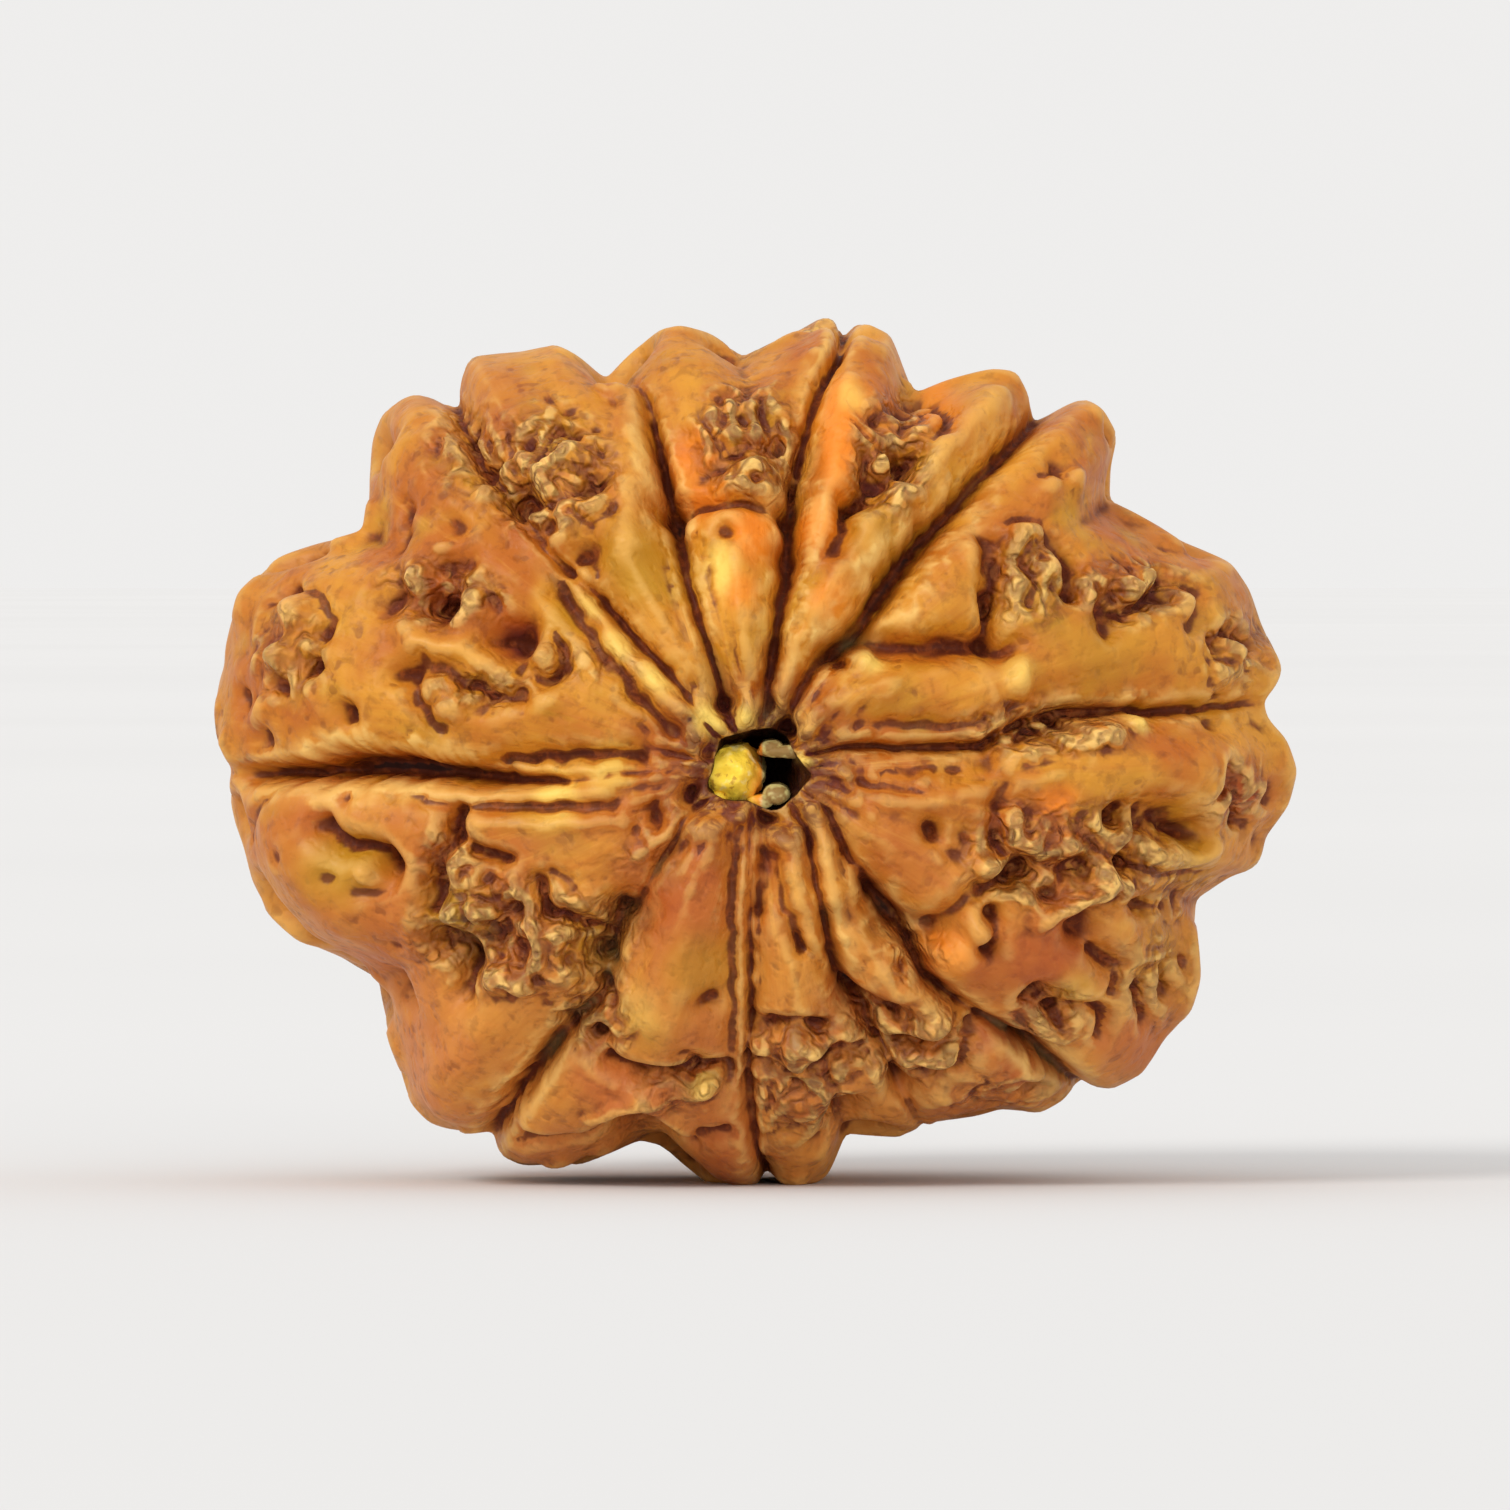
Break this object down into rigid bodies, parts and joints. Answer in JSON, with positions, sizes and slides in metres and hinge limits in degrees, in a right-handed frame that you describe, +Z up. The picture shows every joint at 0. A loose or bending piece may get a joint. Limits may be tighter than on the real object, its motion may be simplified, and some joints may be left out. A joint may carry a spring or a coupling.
{
  "type": "rudraksha bead",
  "caption": "Rounded woody seed bead with deep radial grooves, a craggy net of ridges and pits, and a thread canal from pole to pole, standing on its rim.",
  "frame": {"origin": "bottom centre of the bounding box, on the surface that the bead stands on", "axes": "+X across the widest lobes, +Y along the thread canal away from the pictured mouth, +Z up"},
  "size_m": [0.028, 0.0184, 0.0224],
  "materials": {
    "bead": "golden brown woody stone, dry in the grooves and lightly polished on the ridges"
  },
  "bodies": {
    "root": {"bead": "bead"}
  },
  "joints": []
}
